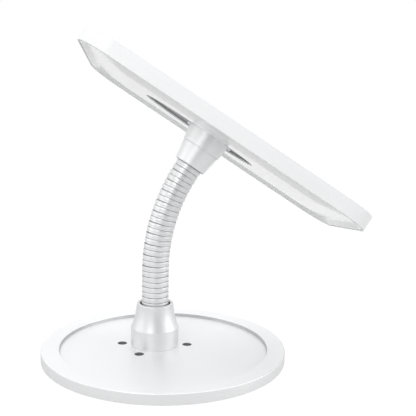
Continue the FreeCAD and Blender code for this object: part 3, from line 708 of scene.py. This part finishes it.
class MakePanel(bpy.types.Operator):
    """Dished rear panel of the case with its oval slot"""
    bl_idname = "stand.panel"
    bl_label = "Rear panel"

    def execute(self, context):
        case = case_sizes()
        long, wide, corner = case.long / MM, case.wide / MM, case.corner / MM
        half_x, half_y = case.slot_long / MM, case.slot_wide / MM
        middle = (case.slot_shift - case.shift) / MM
        # inset and height of each outline, from the foot of the rim over the dish to the crown
        profile = [(PANEL_GAP, PANEL_BACK), (PANEL_GAP, 0.6), (PANEL_GAP + 0.12, 0.32),
                   (PANEL_GAP + 0.4, 0.2), (3.3, 0.2), (3.6, 0.28), (4.0, 0.5), (7.4, 2.25),
                   (8.3, 2.62), (9.4, 2.86), (10.8, 2.93), (12.6, 2.82), (15.0, 2.58),
                   (CROWN - 6.0, 0.58), (CROWN - 2.0, 0.25), (CROWN + 1.0, 0.08),
                   (CROWN + 4.0, 0.0), (CROWN + 4.8, 0.0)]
        shape = bmesh.new()
        loops = [self.outline(shape, long, wide, corner, inset, z) for inset, z in profile]
        for grow, z in SLOT_EDGE:
            loops.append(oval_loop(shape, half_x + grow, half_y + grow, middle, z))
        # back over the inside of the panel
        loops.append(self.outline(shape, long, wide, corner, CROWN + 2.0, PANEL_SKIN))
        loops.append(self.outline(shape, long, wide, corner, HOLLOW, PANEL_BACK))
        join_loops(shape, loops)
        finish_piece("rear_panel_dished", shape, "white_metal", "case", ["rear_panel"],
                     place=case_place(), sharp=40, coat="panel_coat")
        return {"FINISHED"}

    def outline(self, shape, long, wide, corner, inset, height):
        turn = max(corner - inset, LEAST_CROWN_CORNER if inset > DISH_START else LEAST_CORNER)
        return rounded_loop(shape, long - 2 * inset, wide - 2 * inset, turn, height)


# Parts that keep their built shape

class MakeHardware(bpy.types.Operator):
    """Give every carried-over part its material"""
    bl_idname = "stand.hardware"
    bl_label = "Parts' materials"

    def execute(self, context):
        make_materials()
        for entry in frame["record"]["subparts"]:
            node = frame["nodes"][entry["node"]]
            node.data.materials.clear()
            node.data.materials.append(MATERIALS[entry["material_slot"]])
        return {"FINISHED"}


SMOOTHED = ("base_plate", "front_frame", "head_ring", "swivel_boss", "lock_body", "lock_plunger",
            "lock_plug", "head_rim_ring", "collar_ring", "mount_plate", "base_pad")
OWN_COATS = {"base_plate": "base_coat_painted_shade", "front_frame": "case_coat", "head_ring": "head_coat_painted_light",
             "swivel_boss": "case_coat"}


class MakeSmooth(bpy.types.Operator):
    """Even shading over the curved parts that keep their built shape"""
    bl_idname = "stand.smooth"
    bl_label = "Even shading"

    def execute(self, context):
        bodies = {empty: name for name, empty in frame["bodies"].items()}
        slots = {entry["node"]: entry["material_slot"] for entry in frame["record"]["subparts"]}
        for name in SMOOTHED:
            node = frame["nodes"][name]
            shape = bmesh.new()
            shape.from_mesh(node.data)
            bmesh.ops.remove_doubles(shape, verts=shape.verts, dist=1e-6)
            finish_piece(name + "_smooth", shape, slots[name], bodies[node.parent], [name],
                         coat=OWN_COATS.get(name))
        return {"FINISHED"}


# Studio, in metres and degrees

TARGET = (0.03, -0.01, 0.15)
CAMERA_AT = (-0.32964, -0.58037, 0.25038)
CAMERA_RIGHT = (0.83494, -0.54987, 0.02267)
CAMERA_FORWARD = (0.54526, 0.82094, -0.16954)
CAMERA_HEADING = math.atan2(-CAMERA_FORWARD[0], CAMERA_FORWARD[1])
LENS = 65.12
SENSOR = 36.0
# name, azimuth to the camera's right, elevation, distance, size and watts
SOFTBOXES = (
    ("left softbox", -80, 8, 1.3, 1.0, 2.5),
    ("right softbox", 84, 8, 1.5, 1.1, 8.0),
    ("front softbox", -8, 36, 1.4, 1.2, 9.8),
    ("top softbox", 150, 72, 1.6, 1.6, 19.0),
)
FLAG_AT = (16, 12, 0.85)
FLAG_SIZE = (0.7, 1.2, 1.0)
FLOOR_RADIUS = 1.1
FLOOR_TONES = ((0.41, 0.41, 0.41, 1.0), (0.43, 0.43, 0.43, 1.0))
CLOTH_TONES = ((0.01, 0.01, 0.01, 1.0), (0.02, 0.02, 0.02, 1.0))
FLOOR_WHITE = 1.07
FLOOR_SEEN = 0.95
SKY = 0.53


def aim(thing, azimuth, elevation, distance):
    """Stands a thing so far from the stand, and so far to the camera's right and up, facing it."""
    turn, rise = math.radians(azimuth) + CAMERA_HEADING, math.radians(elevation)
    away = Vector((math.sin(turn) * math.cos(rise), -math.cos(turn) * math.cos(rise),
                   math.sin(rise)))
    thing.location = Vector(TARGET) + away * distance
    thing.rotation_mode = "QUATERNION"
    thing.rotation_quaternion = away.to_track_quat("Z", "Y")


def stage_object(scene, name, shape, material):
    mesh = bpy.data.meshes.new(name)
    shape.to_mesh(mesh)
    shape.free()
    mesh.materials.append(material)
    made = bpy.data.objects.new(name, mesh)
    scene.collection.objects.link(made)
    return made


class MakeStage(bpy.types.Operator):
    """Floor, lights, world and camera"""
    bl_idname = "stand.stage"
    bl_label = "Studio"

    def execute(self, context):
        scene = context.scene
        scene.view_settings.view_transform = "Standard"
        self.floor(scene)
        self.flag(scene)
        self.world(scene)
        self.lights(scene)
        self.camera(scene)
        return {"FINISHED"}

    def floor(self, scene):
        shape = bmesh.new()
        bmesh.ops.create_circle(shape, cap_ends=True, radius=FLOOR_RADIUS, segments=96)
        floor = stage_object(scene, "studio_floor", shape, self.floor_paint())

    def floor_paint(self):
        """Grey to light, white to the eye, with the stand's shadow left in it."""
        base = base_sizes()
        paint = new_paint("studio floor")
        paint.set(Base_Color=paint.blend(paint.noise(scale=40.0, detail=3.0), *FLOOR_TONES),
                  Roughness=0.9)
        white = paint.node("ShaderNodeEmission", None, {"Color": WHITE, "Strength": FLOOR_WHITE})
        path = paint.node("ShaderNodeLightPath")
        # reflections see it white to the stand's right and grey under and before the stand
        across = paint.ramp(paint.along(0), (0.25, 0.5), (0.32, 1.0))
        mirrored = across * path.outputs["Is Glossy Ray"]
        # under the base it stays dark
        radius = paint.away(paint.place(), (base.shift_x, base.shift_y, 0.0))
        clear = paint.ramp(radius, (base.radius - 4 * MM, 0.0), (base.radius - 2 * MM, 1.0))
        seen = (mirrored + path.outputs["Is Camera Ray"]) * clear * FLOOR_SEEN
        mix = paint.node("ShaderNodeMixShader", None, {
            0: seen, 1: paint.shader.outputs[0], 2: white.outputs[0]})
        paint.feed(paint.tree.nodes["Material Output"].inputs["Surface"], mix.outputs[0])
        return paint.owner

    def flag(self, scene):
        # black cloth behind the camera, seen only as the dark streak in satin surfaces
        paint = new_paint("black cloth")
        paint.set(Base_Color=paint.blend(paint.noise(scale=300.0), *CLOTH_TONES), Roughness=1.0)
        shape = bmesh.new()
        bmesh.ops.create_grid(shape, x_segments=1, y_segments=1, size=0.5)
        bmesh.ops.scale(shape, vec=FLAG_SIZE, verts=shape.verts)
        cloth = stage_object(scene, "studio_flag", shape, paint.owner)
        cloth.visible_camera = False
        cloth.visible_diffuse = False
        cloth.visible_shadow = False
        aim(cloth, *FLAG_AT)

    def world(self, scene):
        # white to the eye and in reflections, dimmer as light
        scene.world = bpy.data.worlds.new("studio")
        paint = Paint(scene.world, "Background")
        paint.set(Color=WHITE, Strength=SKY)
        white = paint.node("ShaderNodeBackground", None, {"Color": WHITE, "Strength": 1.0})
        path = paint.node("ShaderNodeLightPath")
        seen = Maths(paint, path.outputs["Is Glossy Ray"]) + path.outputs["Is Camera Ray"]
        mix = paint.node("ShaderNodeMixShader", None, {
            0: seen, 1: paint.shader.outputs[0], 2: white.outputs[0]})
        paint.feed(paint.tree.nodes["World Output"].inputs["Surface"], mix.outputs[0])

    def lights(self, scene):
        for name, azimuth, elevation, distance, size, power in SOFTBOXES:
            data = bpy.data.lights.new(name, "AREA")
            data.shape = "SQUARE"
            data.size = size
            data.energy = power
            lamp = bpy.data.objects.new(name, data)
            scene.collection.objects.link(lamp)
            aim(lamp, azimuth, elevation, distance)

    def camera(self, scene):
        data = bpy.data.cameras.new("camera")
        data.lens = LENS
        data.sensor_width = SENSOR
        camera = bpy.data.objects.new("camera", data)
        scene.collection.objects.link(camera)
        right = Vector(CAMERA_RIGHT).normalized()
        forward = Vector(CAMERA_FORWARD).normalized()
        up = right.cross(forward).normalized()
        right = forward.cross(up).normalized()
        turn = Matrix((right, up, -forward)).transposed()
        camera.matrix_world = Matrix.Translation(CAMERA_AT) @ turn.to_4x4()
        scene.camera = camera


OPERATORS = (MakeHardware, MakeSmooth, MakeNeck, MakeCollars, MakePanel, MakeStage)


class StandPanel(bpy.types.Panel):
    """Sizes, colours and pieces of the stand"""
    bl_idname = "VIEW3D_PT_stand"
    bl_label = "Tablet stand"
    bl_space_type = "VIEW_3D"
    bl_region_type = "UI"
    bl_category = "Stand"

    def draw(self, context):
        layout = self.layout
        for word, group in GROUPS:
            box = layout.box()
            values = getattr(context.scene, word)
            for key in group.__annotations__:
                box.prop(values, key)
        for kind in OPERATORS:
            layout.operator(kind.bl_idname)


CLASSES = tuple(group for word, group in GROUPS) + OPERATORS + (StandPanel,)


def register():
    for kind in CLASSES:
        bpy.utils.register_class(kind)
    for word, group in GROUPS:
        setattr(bpy.types.Scene, word, bpy.props.PointerProperty(type=group))


def unregister():
    for word, group in GROUPS:
        delattr(bpy.types.Scene, word)
    for kind in reversed(CLASSES):
        bpy.utils.unregister_class(kind)


def main():
    register()
    for kind in OPERATORS:
        area, word = kind.bl_idname.split(".")
        getattr(getattr(bpy.ops, area), word)()


if __name__ == "__main__":
    main()
